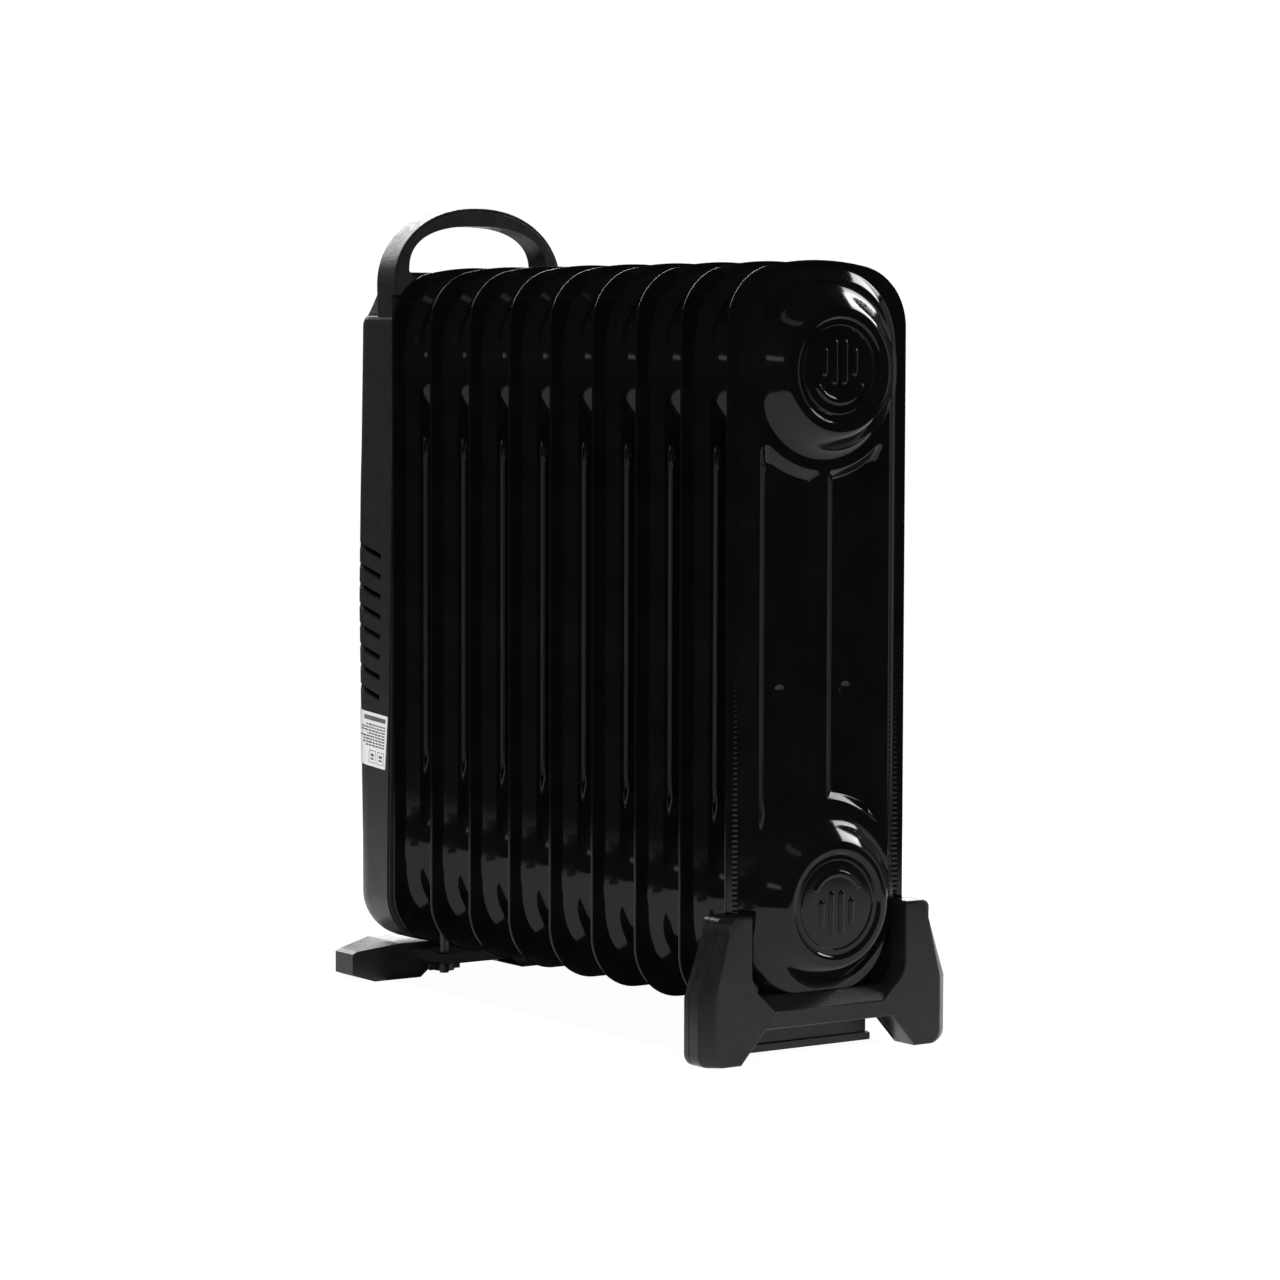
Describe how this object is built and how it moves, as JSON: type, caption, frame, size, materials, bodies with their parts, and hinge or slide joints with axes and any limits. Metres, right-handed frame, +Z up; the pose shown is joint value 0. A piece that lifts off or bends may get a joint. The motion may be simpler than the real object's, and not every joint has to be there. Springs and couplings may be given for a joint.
{
  "type": "oil filled radiator heater",
  "caption": "Portable oil filled radiator: a row of black pressed steel fins between two clip-on feet, with a plastic control housing and carry handle at one end.",
  "frame": {"origin": "centre of the bounding box, on the floor", "axes": "+X along the row of fins, away from the controls; +Y across the fins; +Z up"},
  "size_m": [0.3792, 0.152, 0.417],
  "materials": {
    "black_enamel": "gloss black baked enamel",
    "housing_plastic": "fine matt texture, charcoal",
    "foot_plastic": "satin, charcoal",
    "knob_plastic": "satin black",
    "switch_plastic": "semi gloss black",
    "lamp_red": "translucent red",
    "zinc_steel": "zinc plated",
    "brass": "turned",
    "rubber": "matt",
    "label_film": "white printed film"
  },
  "bodies": {
    "heater": {"fin_1": "black_enamel", "fin_2": "black_enamel", "fin_3": "black_enamel", "fin_4": "black_enamel", "fin_5": "black_enamel", "fin_6": "black_enamel", "fin_7": "black_enamel", "fin_8": "black_enamel", "fin_9": "black_enamel", "housing_shell": "housing_plastic", "housing_front_frame": "housing_plastic", "near_foot_front": "foot_plastic", "near_foot_rear": "foot_plastic", "near_foot_clamp_plate": "foot_plastic", "far_foot": "foot_plastic", "thermostat_body": "switch_plastic", "rocker_switch_1_case": "switch_plastic", "rocker_switch_2_case": "switch_plastic", "terminal_block": "switch_plastic", "heating_element": "zinc_steel", "support_bracket": "zinc_steel", "thermal_cutout": "zinc_steel", "near_foot_u_bolt": "zinc_steel", "far_foot_u_bolt": "zinc_steel", "near_foot_wing_nut_1": "zinc_steel", "near_foot_wing_nut_2": "zinc_steel", "far_foot_wing_nut_1": "zinc_steel", "far_foot_wing_nut_2": "zinc_steel", "housing_screw_1": "zinc_steel", "housing_screw_2": "zinc_steel", "housing_screw_3": "zinc_steel", "housing_screw_4": "zinc_steel", "element_flange": "brass", "oil_filler_plug": "brass", "flange_gasket": "rubber", "cord_inlet": "rubber", "rating_plate": "label_film"},
    "knob": {"thermostat_knob": "knob_plastic", "thermostat_shaft": "zinc_steel"},
    "rocker_1": {"rocker_1": "lamp_red"},
    "rocker_2": {"rocker_2": "lamp_red"}
  },
  "joints": [
    {"name": "thermostat_turn", "type": "hinge", "parent": "heater", "child": "knob", "pos_m": [-0.18327, 0, 0.252], "axis": [-1, 0, 0], "range_deg": [0, 270]},
    {"name": "rocker_1_tilt", "type": "hinge", "parent": "heater", "child": "rocker_1", "pos_m": [-0.17577, -0.014, 0.206], "axis": [0, 1, 0], "range_deg": [0, 18]},
    {"name": "rocker_2_tilt", "type": "hinge", "parent": "heater", "child": "rocker_2", "pos_m": [-0.17577, 0.014, 0.206], "axis": [0, 1, 0], "range_deg": [0, 18]}
  ]
}
